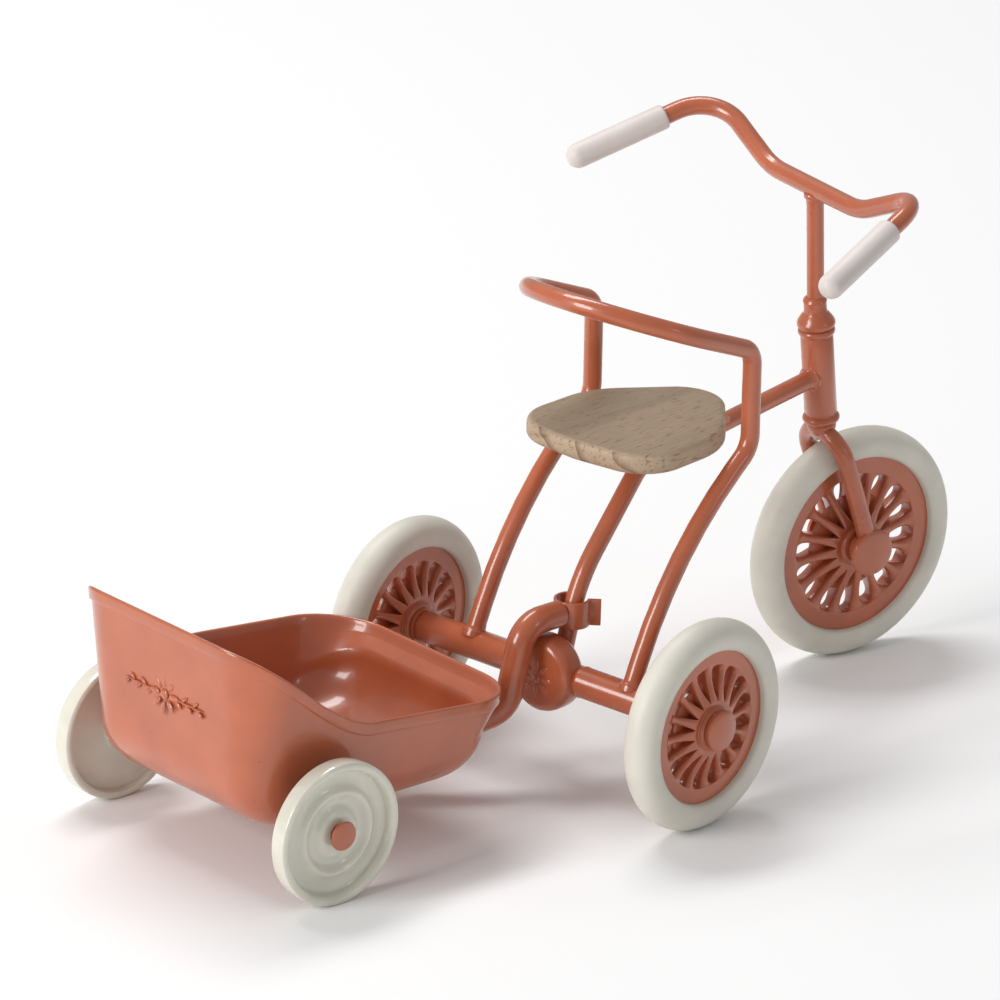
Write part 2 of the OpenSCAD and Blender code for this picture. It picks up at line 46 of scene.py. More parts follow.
MM = 0.001
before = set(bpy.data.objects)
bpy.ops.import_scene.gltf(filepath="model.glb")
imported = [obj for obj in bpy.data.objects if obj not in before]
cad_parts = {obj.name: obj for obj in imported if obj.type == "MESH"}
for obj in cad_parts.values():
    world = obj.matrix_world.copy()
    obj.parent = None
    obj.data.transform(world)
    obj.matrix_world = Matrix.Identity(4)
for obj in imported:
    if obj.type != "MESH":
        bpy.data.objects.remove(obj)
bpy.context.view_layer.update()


def height_of(node):
    low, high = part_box(node)
    return high.z - low.z


# ---------- places ----------

STEER_FOOT = Vector((63.57, 0, 50)) * MM
HEAD = Matrix.Translation(STEER_FOOT) @ Matrix.Rotation(math.radians(-8), 4, "Y")
STEER = HEAD @ Matrix.Rotation(math.radians(-12.8), 4, "Z")
BAR = STEER @ Matrix.Translation(Vector((1.2, 0, 32.5)) * MM)
FRONT_HUB = STEER @ Matrix.Translation(Vector((4.4, 0, -31.4)) * MM)
TRAILER = (
    Matrix.Translation(Vector((4.2, 0, 0)) * MM)
    @ Matrix.Rotation(math.radians(-7.85), 4, "Z")
    @ Matrix.Translation(Vector((-64, 6.8, 0)) * MM)
)
AXLE_Z = 17
WHEEL_Y = 30.5
LEG_Y = 16.2  # the armrest hoop's legs, each side
FORK_Y = 4.85  # the fork's legs, each side
AXLE_TUBE_R, HEAD_TUBE_R = 2.5, 2.65
SEAT_TOP = 54.6
TYRE_SECTION_R = 2.85
DOUBLES = 0.002 * MM  # points closer than this are one point
MIX_A, MIX_B, MIX_RESULT = 6, 7, 2  # a Mix node's colour sockets
BAR_END, GRIP_START = Vector((-22.5, 32.9, 1.8)), Vector((-7.5, 29.1, 5.3))


def rear_hub(side):
    return Matrix.Translation(Vector((0, side * WHEEL_Y, AXLE_Z)) * MM)


def trailer_hub(side):
    return TRAILER @ Matrix.Translation(Vector((0, side * 26.1, 11.5)) * MM)


def facing(direction, place=Matrix()):
    """place, turned so that +Z points along direction."""
    return place @ Vector(direction).to_track_quat("Z", "Y").to_matrix().to_4x4()


def at(x, y, z, place=Matrix()):
    return place @ Matrix.Translation(Vector((x, y, z)) * MM)


# ---------- sizes and colours ----------


def linear(hex_colour):
    """An sRGB hex colour as linear RGBA."""
    parts = [int(hex_colour[i : i + 2], 16) / 255 for i in (1, 3, 5)]
    return (*[c / 12.92 if c <= 0.04045 else ((c + 0.055) / 1.055) ** 2.4 for c in parts], 1.0)


def length(name, description, default):
    return FloatProperty(
        name=name, description=description, default=default, min=0, precision=4, unit="LENGTH"
    )


def colour(name, description, hex_colour):
    return FloatVectorProperty(
        name=name,
        description=description,
        default=linear(hex_colour)[:3],
        subtype="COLOR",
        size=3,
        min=0,
        max=1,
    )


class TricycleSizes(bpy.types.PropertyGroup):
    rod: length("Frame rod", "Diameter of the bent rods of the frame and handlebar", 3.0 * MM)
    drawbar: length("Drawbar rod", "Diameter of the trailer's drawbar", 4.3 * MM)
    rear_wheel: length("Rear wheel", "Diameter over a rear tyre", height_of("rear_tyre_left"))
    front_wheel: length("Front wheel", "Diameter over the front tyre", 39.0 * MM)
    tyre_band: length("Tyre band", "Width of tyre that shows round each disc", 4.6 * MM)
    seat_thickness: length("Seat", "Thickness of the wooden seat", height_of("seat"))
    sheet: length("Tub sheet", "Thickness of the tub's pressed sheet", 0.8 * MM)
    rim_lip: length("Tub lip", "How far the tub's rim is turned out", 0.6 * MM)
    weld: length("Weld", "How far a weld's fillet runs up a rod", 1.4 * MM)
    spokes: IntProperty(
        name="Spokes", description="Blades between the leaf slots of a disc", default=16, min=8
    )


class TricycleColours(bpy.types.PropertyGroup):
    enamel: colour("Coral enamel", "Stoved enamel of the frame, discs and tub", "#B45E3C")
    tyre: colour("Tyres", "Off-white rubber of the tyres", "#D6D2C6")
    wheel: colour("Trailer wheels", "Cream enamel of the trailer's wheels", "#DAD7C8")
    grip: colour("Grips", "Off-white soft plastic of the grips", "#D9CFCA")
    wood: colour("Beech", "Varnished beech of the seat", "#B49C82")


def sizes():
    return bpy.context.scene.tricycle_sizes


def paints():
    return bpy.context.scene.tricycle_colours


# ---------- bench tools ----------


def nothing_selected():
    if bpy.context.object and bpy.context.object.mode != "OBJECT":
        bpy.ops.object.mode_set(mode="OBJECT")
    bpy.ops.object.select_all(action="DESELECT")


def hold(piece):
    """Selects one piece alone and makes it the active one."""
    nothing_selected()
    piece.select_set(True)
    bpy.context.view_layer.objects.active = piece


def begin_edit():
    bpy.ops.object.mode_set(mode="EDIT")
    bpy.ops.mesh.select_mode(type="VERT")


def pick_edges(test):
    """Selects, in edit mode, the edges whose two ends pass test."""
    bpy.ops.mesh.select_mode(type="EDGE")
    bpy.ops.mesh.select_all(action="DESELECT")
    bpy.ops.object.mode_set(mode="OBJECT")
    mesh = bpy.context.object.data
    for edge in mesh.edges:
        edge.select = test(*[mesh.vertices[i].co / MM for i in edge.vertices])
    bpy.ops.object.mode_set(mode="EDIT")


def merged():
    """Merges doubles, in edit mode, and leaves the whole mesh selected."""
    bpy.ops.mesh.select_all(action="SELECT")
    bpy.ops.mesh.remove_doubles(threshold=DOUBLES)
    bpy.ops.mesh.select_all(action="SELECT")


def cleaned():
    """Merges doubles and turns every face outwards, then leaves edit mode."""
    merged()
    bpy.ops.mesh.normals_make_consistent(inside=False)
    bpy.ops.object.mode_set(mode="OBJECT")


def placed(piece, place):
    """Puts a piece made about the origin in its place, and the place in its mesh."""
    hold(piece)
    piece.matrix_world = place
    bpy.ops.object.transform_apply(location=True, rotation=True, scale=True)
    return piece


def joined(name, pieces):
    """Joins pieces into the first of them, under a new name."""
    nothing_selected()
    for piece in pieces:
        piece.select_set(True)
    bpy.context.view_layer.objects.active = pieces[0]
    if len(pieces) > 1:
        bpy.ops.object.join()
    pieces[0].name = pieces[0].data.name = name
    return pieces[0]


def modified(piece, kind, **settings):
    """Adds a modifier with its settings and applies it."""
    hold(piece)
    modifier = piece.modifiers.new(kind.title(), kind)
    for key, value in settings.items():
        setattr(modifier, key, value)
    bpy.ops.object.modifier_apply(modifier=modifier.name)


def finished(piece, body, material, nodes=(), smooth=38):
    """Smooths a piece, paints it, and gives it its body and the CAD nodes it stands for."""
    hold(piece)
    bpy.ops.object.shade_smooth_by_angle(angle=math.radians(smooth))
    piece.data.materials.clear()
    piece.data.materials.append(material)
    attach(piece, body)
    if nodes:
        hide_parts(*nodes)
    return piece


def turned(name, outline, place=Matrix(), steps=96):
    """A piece turned on a lathe about Z, from an outline of (radius, height) in mm."""
    nothing_selected()
    bpy.ops.mesh.primitive_plane_add(size=MM, location=(0, 0, 0))
    piece = bpy.context.object
    piece.name = piece.data.name = name
    begin_edit()
    bpy.ops.mesh.merge(type="CENTER")
    here = Vector((0, 0, 0))
    for i, (radius, height) in enumerate(outline):
        there = Vector((radius, 0, height)) * MM
        if i == 0:
            bpy.ops.transform.translate(value=there)
        else:
            bpy.ops.mesh.extrude_vertices_move(TRANSFORM_OT_translate={"value": there - here})
        here = there
    bpy.ops.mesh.select_all(action="SELECT")
    bpy.ops.mesh.spin(steps=steps, angle=2 * math.pi, center=(0, 0, 0), axis=(0, 0, 1))
    cleaned()
    return placed(piece, place)


def bent_rod(name, points, radii, diameter, place=Matrix(), sides=40):
    """A rod drawn straight and bent round formers: straight, bend, straight, as a bender works.
    points are its ends and corners in mm, and radii are the bends' middle radii in mm."""
    points = [Vector(p) * MM for p in points]
    radii = [r * MM for r in radii]
    way = (points[1] - points[0]).normalized()
    nothing_selected()
    bpy.ops.mesh.primitive_circle_add(
        vertices=sides,
        radius=diameter / 2,
        location=points[0],
        rotation=way.to_track_quat("Z", "Y").to_euler(),
    )
    bpy.ops.object.transform_apply(location=True, rotation=True, scale=True)
    piece = bpy.context.object
    piece.name = piece.data.name = name
    begin_edit()
    bpy.ops.mesh.select_all(action="SELECT")
    here = points[0]
    for before, corner, after, radius in zip(points, points[1:], points[2:], radii):
        way, turn_to = (corner - before).normalized(), (after - corner).normalized()
        angle = way.angle(turn_to)
        run = radius * math.tan(angle / 2)
        start, end = corner - way * run, corner + turn_to * run
        bpy.ops.mesh.extrude_edges_move(TRANSFORM_OT_translate={"value": start - here})
        centre = corner + (turn_to - way).normalized() * radius / math.cos(angle / 2)
        bpy.ops.mesh.spin(
            steps=max(6, round(math.degrees(angle) / 6)),  # one ring in 6 degrees of bend
            angle=-angle,
            center=centre,
            axis=way.cross(turn_to).normalized(),
        )
        here = end
    bpy.ops.mesh.extrude_edges_move(TRANSFORM_OT_translate={"value": points[-1] - here})
    merged()
    bpy.ops.mesh.fill_holes(sides=0)
    cleaned()
    far = min((v.co - points[-1]).length for v in piece.data.vertices)
    if far > diameter:
        raise RuntimeError(f"{name}: the rod missed its end by {far / MM:.1f} mm")
    return placed(piece, place)


def weld(point, way, rod, tube, place=Matrix(), flare=0.55):
    """The fillet of a weld where a rod of radius rod meets a tube of radius tube. point is on the
    tube's axis, way points along the rod, away from the tube, and flare is how far it spreads."""
    run, skin = sizes().weld / MM, tube * 0.92
    outline = [(0, 0), (rod + flare, tube * 0.55), (rod + flare * 1.05, tube * 0.8)]
    for i in range(7):
        turn = math.radians(90 * i / 6)
        spread, rise = flare * (1 - math.sin(turn)), run * (1 - math.cos(turn))
        outline.append((rod + 0.02 + spread, skin + rise))
    outline.append((0, skin + run))
    return turned("weld", outline, facing(way, at(*point, place)), steps=40)


def outline_disc(name, outline, height, place=Matrix()):
    """A board cut to an outline of (x, y) in mm, and its thickness from z 0 to height."""
    nothing_selected()
    bpy.ops.mesh.primitive_circle_add(vertices=len(outline), radius=MM, fill_type="NGON")
    piece = bpy.context.object
    piece.name = piece.data.name = name
    for vertex, (x, y) in zip(piece.data.vertices, outline):
        vertex.co = Vector((x, y, 0)) * MM
    begin_edit()
    bpy.ops.mesh.select_all(action="SELECT")
    bpy.ops.mesh.extrude_region_move(TRANSFORM_OT_translate={"value": (0, 0, height * MM)})
    cleaned()
    return placed(piece, place)


def arc(cx, cy, radius, start, end, steps):
    """Points of an arc, with angles in degrees."""
    turns = [math.radians(start + (end - start) * i / steps) for i in range(steps + 1)]
    return [(cx + radius * math.cos(t), cy + radius * math.sin(t)) for t in turns]


# ---------- materials ----------


def node(tree, kind, links=(), stops=(), **settings):
    """Adds a node, sets its properties or inputs by name, links (input, socket) pairs, and gives
    a colour ramp its (position, colour) stops."""
    new = tree.nodes.new(kind)
    for key, value in settings.items():
        if hasattr(new, key):
            setattr(new, key, value)
        else:
            new.inputs[key.replace("_", " ")].default_value = value
    for name, socket in links:
        tree.links.new(socket, new.inputs[name])
    for i, (position, rgba) in enumerate(stops):
        element = new.color_ramp.elements[i] if i < 2 else new.color_ramp.elements.new(position)
        element.position, element.color = position, rgba
    return new


def new_material(name, **surface):
    """A Principled material with constant inputs, and the tree, shader and object coordinates."""
    material = bpy.data.materials.new(name)
    material.use_nodes = True
    tree = material.node_tree
    shader = tree.nodes["Principled BSDF"]
    for key, value in surface.items():
        shader.inputs[key.replace("_", " ")].default_value = value
    place = tree.nodes.new("ShaderNodeTexCoord").outputs["Object"]
    return material, tree, shader, place


def shade(rgb, factor):
    """A colour made lighter or darker by a factor, as RGBA."""
    return (*[min(1.0, c * factor) for c in rgb[:3]], 1.0)


def coral_enamel():
    # Stoved enamel on steel: a thick glossy coat. It flows before it hardens, so it has faint
    # orange peel about 1 mm across, and patches some 9 mm across that lie a little thinner, paler
    # and less glossy than the rest.
    if "Stoved coral enamel" in bpy.data.materials:
        return bpy.data.materials["Stoved coral enamel"]
    rgb = tuple(paints().enamel)
    material, tree, shader, place = new_material(
        "Stoved coral enamel", Roughness=0.3, IOR=1.5, Coat_Weight=0.6, Coat_Roughness=0.08
    )
    cloud = node(
        tree, "ShaderNodeTexNoise", [("Vector", place)], Scale=1 / (9 * MM), Detail=3.0
    ).outputs["Fac"]
    tint = node(
        tree, "ShaderNodeValToRGB", [("Fac", cloud)],
        stops=[(0.3, shade(rgb, 0.9)), (0.7, shade(rgb, 1.08))],
    ).outputs["Color"]
    tree.links.new(tint, shader.inputs["Base Color"])
    peel = node(
        tree, "ShaderNodeTexNoise", [("Vector", place)], Scale=1 / (1.1 * MM), Detail=1.0
    ).outputs["Fac"]
    bump = node(
        tree, "ShaderNodeBump", [("Height", peel)], Strength=0.06, Distance=0.05 * MM
    ).outputs["Normal"]
    tree.links.new(bump, shader.inputs["Normal"])
    gloss = node(
        tree, "ShaderNodeMapRange", [("Value", cloud)], To_Min=0.24, To_Max=0.36
    ).outputs["Result"]
    tree.links.new(gloss, shader.inputs["Roughness"])
    return material


def moulded(name, rgb, grain, roughness, **surface):
    """A moulded soft white: a fine grain of size grain in mm and faint clouding."""
    if name in bpy.data.materials:
        return bpy.data.materials[name]
    material, tree, shader, place = new_material(name, Roughness=roughness, **surface)
    cloud = node(
        tree, "ShaderNodeTexNoise", [("Vector", place)], Scale=1 / (6 * MM), Detail=4.0
    ).outputs["Fac"]
    tint = node(
        tree, "ShaderNodeValToRGB", [("Fac", cloud)],
        stops=[(0.3, shade(rgb, 0.94)), (0.7, shade(rgb, 1.04))],
    ).outputs["Color"]
    tree.links.new(tint, shader.inputs["Base Color"])
    fine = node(
        tree, "ShaderNodeTexNoise", [("Vector", place)], Scale=1 / (grain * MM), Detail=2.0
    ).outputs["Fac"]
    bump = node(
        tree, "ShaderNodeBump", [("Height", fine)], Strength=0.12, Distance=0.03 * MM
    ).outputs["Normal"]
    tree.links.new(bump, shader.inputs["Normal"])
    return material


def tyre_rubber():
    # Off-white vulcanised rubber: satin, with a matt bloom and no shine of its own.
    return moulded("Off-white rubber", tuple(paints().tyre), 0.35, 0.5, IOR=1.52)


def grip_vinyl():
    # Dipped soft vinyl: matt, faintly pink, smoother than rubber.
    return moulded("Dipped vinyl", tuple(paints().grip), 0.5, 0.48, IOR=1.5)


def cream_enamel():
    # Cream stoved enamel on pressed tin: glossy, so its beads catch thin bright lines.
    return moulded(
        "Stoved cream enamel", tuple(paints().wheel), 1.2, 0.2, IOR=1.5, Coat_Weight=0.8
    )


def bare_wire():
    # Drawn steel wire: bright, with fine scratches drawn out along Y, the way the axles lie. They
    # are drawn 0.15 mm wide, coarser than real ones, so that they show.
    if "Drawn steel wire" in bpy.data.materials:
        return bpy.data.materials["Drawn steel wire"]
    material, tree, shader, place = new_material(
        "Drawn steel wire", Metallic=1.0, Roughness=0.35, Base_Color=linear("#A6A4A0")
    )
    stretched = node(
        tree, "ShaderNodeMapping", [("Vector", place)], Scale=(1.0, 0.08, 1.0)
    ).outputs["Vector"]
    lines = node(
        tree, "ShaderNodeTexNoise", [("Vector", stretched)], Scale=1 / (0.15 * MM), Detail=2.0
    ).outputs["Fac"]
    rough = node(
        tree, "ShaderNodeMapRange", [("Value", lines)], To_Min=0.25, To_Max=0.5
    ).outputs["Result"]
    tree.links.new(rough, shader.inputs["Roughness"])
    return material


def varnished_beech():
    # Flat-sawn beech under thin matt varnish: pale pinkish brown, with growth rings that show as
    # soft bands on top and as lines on the end grain, and short dark rays along the grain. A wave
    # texture repeats every 0.314 / Scale, so the rings below are 4.4 mm apart.
    rgb = tuple(paints().wood)
    material, tree, shader, place = new_material("Varnished beech", Roughness=0.55, IOR=1.5)
    # the rings lie round the pith, which ran along X some 40 mm under the seat
    pith = node(
        tree, "ShaderNodeMapping", [("Vector", place)],
        Location=(0, 0.006, -0.012), Scale=(0.06, 1.0, 1.0),
    ).outputs["Vector"]
    rings = node(
        tree, "ShaderNodeTexWave", [("Vector", pith)],
        wave_type="RINGS", rings_direction="X", wave_profile="SAW",
        Scale=1 / (14 * MM), Distortion=3.0, Detail=2.0, Detail_Scale=1.5,
    ).outputs["Fac"]
    base = node(
        tree, "ShaderNodeValToRGB", [("Fac", rings)],
        stops=[(0.0, shade(rgb, 0.9)), (0.75, shade(rgb, 1.03)), (1.0, shade(rgb, 0.8))],
    ).outputs["Color"]
    # rays: dashes some 2 mm long and 0.3 mm wide
    dashes = node(
        tree, "ShaderNodeMapping", [("Vector", place)], Scale=(0.17, 1.0, 1.0)
    ).outputs["Vector"]
    speck = node(
        tree, "ShaderNodeTexNoise", [("Vector", dashes)], Scale=1 / (0.42 * MM), Detail=1.0
    ).outputs["Fac"]
    mask = node(
        tree, "ShaderNodeMapRange", [("Value", speck)], From_Min=0.6, From_Max=0.7, To_Max=0.55
    ).outputs["Result"]
    flecked = node(
        tree, "ShaderNodeMix", [("Factor", mask), (MIX_A, base)],
        data_type="RGBA", blend_type="MULTIPLY",
    )
    flecked.inputs[MIX_B].default_value = linear("#A97350")
    # pores: finer streaks along the grain, paler and darker by turns, 0.25 mm wide
    grain = node(
        tree, "ShaderNodeMapping", [("Vector", place)], Scale=(0.05, 1.0, 1.0)
    ).outputs["Vector"]
    pores = node(
        tree, "ShaderNodeTexNoise", [("Vector", grain)], Scale=1 / (0.25 * MM), Detail=3.0
    ).outputs["Fac"]
    streaks = node(
        tree, "ShaderNodeValToRGB", [("Fac", pores)],
        stops=[(0.3, (0.3, 0.3, 0.3, 1)), (0.7, (0.7, 0.7, 0.7, 1))],
    ).outputs["Color"]
    streaked = node(
        tree, "ShaderNodeMix", [(MIX_A, flecked.outputs[MIX_RESULT]), (MIX_B, streaks)],
        data_type="RGBA", blend_type="OVERLAY", Factor=0.25,
    )
    # where the grain ends, front and back, the growth rings are thin slanting lines 6.3 mm apart
    facing_way = node(
        tree, "ShaderNodeSeparateXYZ",
        [("Vector", tree.nodes["Texture Coordinate"].outputs["Normal"])],
    )
    arcs = node(
        tree, "ShaderNodeMapping", [("Vector", place)],
        Rotation=(math.radians(35), 0, 0), Scale=(0.5, 1.0, 1.0),
    ).outputs["Vector"]
    lines = node(
        tree, "ShaderNodeTexWave", [("Vector", arcs)],
        wave_type="BANDS", bands_direction="Y", wave_profile="SAW",
        Scale=1 / (20 * MM), Distortion=2.5, Detail=3.0, Detail_Scale=2.0,
    ).outputs["Fac"]
    line = node(
        tree, "ShaderNodeMapRange", [("Value", lines)], From_Min=0.8, From_Max=1.0, To_Max=0.7
    ).outputs["Result"]
    endwise = node(tree, "ShaderNodeMath", [(0, facing_way.outputs["X"])], operation="ABSOLUTE")
    endwise = node(
        tree, "ShaderNodeMapRange", [("Value", endwise.outputs[0])], From_Min=0.35, From_Max=0.6
    ).outputs["Result"]
    ring_line = node(
        tree, "ShaderNodeMath", [(0, line), (1, endwise)], operation="MULTIPLY"
    ).outputs[0]
    ringed = node(
        tree, "ShaderNodeMix", [("Factor", ring_line), (MIX_A, streaked.outputs[MIX_RESULT])],
        data_type="RGBA", blend_type="MULTIPLY",
    )
    ringed.inputs[MIX_B].default_value = linear("#8E6647")
    # painted shade: the more a face points up, the darker it is made, so the top is darker than the
    # sawn edges
    top = node(
        tree, "ShaderNodeMapRange", [("Value", facing_way.outputs["Z"])], From_Min=0.5, To_Max=1.0
    ).outputs["Result"]
    top_painted_shade = node(
        tree, "ShaderNodeMix", [("Factor", top), (MIX_A, ringed.outputs[MIX_RESULT])],
        data_type="RGBA", blend_type="MULTIPLY",
    )
    top_painted_shade.inputs[MIX_B].default_value = linear("#D6D6D2")
    tree.links.new(top_painted_shade.outputs[MIX_RESULT], shader.inputs["Base Color"])
    bump = node(
        tree, "ShaderNodeBump", [("Height", speck)], Strength=0.25, Distance=0.05 * MM
    ).outputs["Normal"]
    tree.links.new(bump, shader.inputs["Normal"])
    return material


# ---------- tricycle ----------


class FrameRods(bpy.types.Operator):
    """Bends the main tube and the armrest hoop and welds them to the axle tube"""

    bl_idname = "tricycle.frame_rods"
    bl_label = "Frame rods"

    def execute(self, context):
        rod = sizes().rod
        half = rod / 2 / MM
        tube = bent_rod(
            "main_tube_bent",
            [(1.8, 0, 16.6), (5.6, 0, 30.7), (19.6, 0, 46.3), (63, 0, 49.9)],
            [22, 5],
            rod,
        )
        welds = [
            weld((63.57, 0, 49.95), (-1, 0, -0.083), half, HEAD_TUBE_R),
            weld((1.9, 0, AXLE_Z), (0.26, 0, 0.966), half, AXLE_TUBE_R),
        ]
        tube = joined("main_tube_welded", [tube, *welds])
        finished(tube, "frame", coral_enamel(), ["main_tube"])
        lift = math.tan(math.radians(22))  # the armrests climb this much towards the back
        side = [(-0.9, 17.2), (9.0, 38.9), (26.7, 51.8), (26.4, 67.9), (0.6, 67.9 + lift * 25.8)]
        path = [(x, -LEG_Y, z) for x, z in side] + [(x, LEG_Y, z) for x, z in reversed(side)]
        hoop = bent_rod("hoop", path, [66, 4.5, 3.5, 16.1, 16.1, 3.5, 4.5, 66], rod)
        feet = [
            weld((-0.9, y, AXLE_Z), (0.415, 0, 0.91), half, AXLE_TUBE_R) for y in (-LEG_Y, LEG_Y)
        ]
        hoop = joined("armrest_hoop_welded", [hoop, *feet])
        finished(hoop, "frame", coral_enamel(), ["armrest_hoop"])
        return {"FINISHED"}


class HeadTube(bpy.types.Operator):
    """Turns the head tube with its two beads, and a fine groove beside each"""

    bl_idname = "tricycle.head_tube"
    bl_label = "Head tube"

    def execute(self, context):
        low = [(1.6, -8.2), (2.6, -8.2), *arc(2.4, -7.55, 0.62, -60, 60, 8), (2.5, -6.85)]
        high = [(2.5, 7.25), *arc(2.4, 7.95, 0.62, -60, 60, 8), (2.6, 8.6), (1.6, 8.6), (1.6, -8.2)]
        walls = [(2.52, -6.6), (2.65, -6.4), (2.65, 6.8), (2.52, 7.0)]
        tube = turned("head_tube_beaded", low + walls + high, HEAD)
        finished(tube, "frame", coral_enamel(), ["head_tube"])
        return {"FINISHED"}


class AxleTube(bpy.types.Operator):
    """Turns the axle tube and the round drum at its middle, with a flower raised on its back"""

    bl_idname = "tricycle.axle_tube"
    bl_label = "Axle tube and drum"

    def execute(self, context):
        end, r = WHEEL_Y - 3.85, AXLE_TUBE_R
        half = [(1.5, end), (r - 0.25, end), (r - 0.08, end - 0.08), (r, end - 0.3), (r, 6.9)]
        ring = [(r + 0.06, 6.75), (r + 0.1, 6.5), (r, 6.3)]
        path = half + ring + [(r, -z) for r, z in reversed(half + ring)] + [(1.5, end)]
        tube = turned("axle_tube_turned", path, facing((0, 1, 0), at(0, 0, AXLE_Z)))
        finished(tube, "frame", coral_enamel(), ["rear_axle_tube"])
        shell = [(0, -2.5), (4.5, -2.5), (5.0, -2.46), (5.5, -2.25), (5.9, -1.85), (6.12, -1.3)]
        shell += [(6.2, -0.6), (6.2, 0.9), (6.1, 1.5), (5.8, 2.0), (5.2, 2.35), (4.5, 2.5)]
        shell += [(0, 2.5)]
        place = facing((1, 0, 0), at(-1.4, 0, 17.4))
        drum = turned("drum_shell", shell, place)
        flower = pressed_flower(facing((-1, 0, 0), at(-3.86, 0, 17.0)), 1.1)
        drum = joined("axle_drum_pressed", [drum, *flower])
        finished(drum, "frame", coral_enamel(), ["axle_drum"])
        return {"FINISHED"}


def petal(x, y, turn, long, wide, high, place):
    """A raised oval long, wide and high in mm, on a sheet whose outside is the z = 0 plane."""
    nothing_selected()
    bpy.ops.mesh.primitive_uv_sphere_add(segments=20, ring_count=12, radius=MM)
    piece = bpy.context.object
    begin_edit()
    bpy.ops.mesh.select_all(action="SELECT")
    bpy.ops.transform.resize(value=(long / 2, wide / 2, high))
    bpy.ops.object.mode_set(mode="OBJECT")
    return placed(piece, at(x, y, 0, place) @ Matrix.Rotation(turn, 4, "Z"))


def pressed_flower(place, scale):
    """Eight petals round a button, raised from a sheet."""
    parts = [petal(0, 0, 0, 1.5 * scale, 1.5 * scale, 0.32, place)]
    reach = 1.95 * scale
    for i in range(8):
        turn = math.radians(45 * i)
        x, y = reach * math.cos(turn), reach * math.sin(turn)
        parts.append(petal(x, y, turn, 1.9 * scale, 0.85 * scale, 0.26, place))
    return parts


class Seat(bpy.types.Operator):
    """Cuts the rounded triangular seat out of beech and rounds its edges"""

    bl_idname = "tricycle.seat"
    bl_label = "Wooden seat"

    def execute(self, context):
        # the outline is a band pulled tight round four discs of (centre, radius)
        discs = [((11.8, 6.6), 7.9), ((11.8, -6.6), 7.9), ((17.7, 0), 14.4), ((28.8, 0), 7.2)]
        outline, count = [], 160
        for i in range(count):
            turn = 2 * math.pi * i / count
            way = Vector((math.cos(turn), math.sin(turn)))
            centre, radius = max(discs, key=lambda d: Vector(d[0]).dot(way) + d[1])
            outline.append(tuple(Vector(centre) + way * radius))
        thick = sizes().seat_thickness / MM
        board = outline_disc("seat_board", outline, thick)
        begin_edit()
        pick_edges(lambda a, b: abs(a.z - b.z) < 0.01)
        bpy.ops.mesh.bevel(offset=1.0 * MM, segments=7)
        cleaned()
        placed(board, at(0, 0, SEAT_TOP - thick))
        finished(board, "frame", varnished_beech(), ["seat"], smooth=30)
        return {"FINISHED"}


class Steering(bpy.types.Operator):
    """Bends the fork and the handlebar and turns the cone and collar between them"""

    bl_idname = "tricycle.steering"
    bl_label = "Fork, stem and handlebar"

    def execute(self, context):
        rod = sizes().rod
        leg = [(4.35, -30.2), (4.1, -28.0), (2.4, -20.5), (-0.1, -10.0)]
        path = [(x, FORK_Y, z) for x, z in leg] + [(x, -FORK_Y, z) for x, z in reversed(leg)]
        fork = bent_rod("fork_rod", path, [20, 30, 4.7, 4.7, 30, 20], rod, STEER)
        eye = [(1.5, -0.75), (2.6, -0.75), (2.85, -0.6), (2.9, -0.3), (2.9, 0.3), (2.85, 0.6)]
        eye += [(2.6, 0.75), (1.5, 0.75), (1.5, -0.75)]
        eyes = [
            turned("eye", eye, facing((0, 1, 0), at(0, y, 0, FRONT_HUB)))
            for y in (-FORK_Y, FORK_Y)
        ]
        crown = [(0, -10.6), (1.9, -10.2), (2.3, -9.4), (2.4, -8.9), (2.4, -8.5), (2.3, -8.36)]
        race = turned("race", crown + [(0, -8.36)], STEER)
        fork = joined("fork_bent", [fork, *eyes, race])
        finished(fork, "steering", coral_enamel(), ["fork", "crown_race"])
        cone = [(0, 8.75), (2.8, 8.75), (3.05, 8.9), (3.12, 9.2), (3.1, 9.6), (2.8, 10.1)]
        cone += [(2.3, 10.8), (2.0, 11.15), (1.85, 11.35), (1.85, 13.0), (1.8, 13.25), (1.6, 13.4)]
        cone = turned("headset_cone_turned", cone + [(0, 13.4)], STEER)
        finished(cone, "steering", coral_enamel(), ["headset_cone"])
        thin = 2.8  # the stem's rod is a little thinner than the others
        stem = bent_rod("stem_rod", [(0.06, 0, 12.0), (1.2, 0, 32.4)], [], thin * MM, STEER)
        tops = [
            weld((1.2, 0, 32.5), (-0.0585, 0, -0.998), thin / 2, 1.5, STEER, flare=0.4),
            turned("bead", [(0, 13.2), (1.95, 13.2), (1.8, 13.6), (1.45, 13.9), (0, 13.9)], STEER),
        ]
        stem = joined("stem_welded", [stem, *tops])
        finished(stem, "steering", coral_enamel(), ["stem"])
        left = [BAR_END, Vector((1.29, 26.87, 7.35)), Vector((0, 11.4, 0))]
        right = [Vector((p.x, -p.y, p.z)) for p in reversed(left)]
        bar = bent_rod("handlebar_bent", left + right, [7.5, 12, 12, 7.5], rod, BAR)
        finished(bar, "steering", coral_enamel(), ["handlebar"])
        return {"FINISHED"}


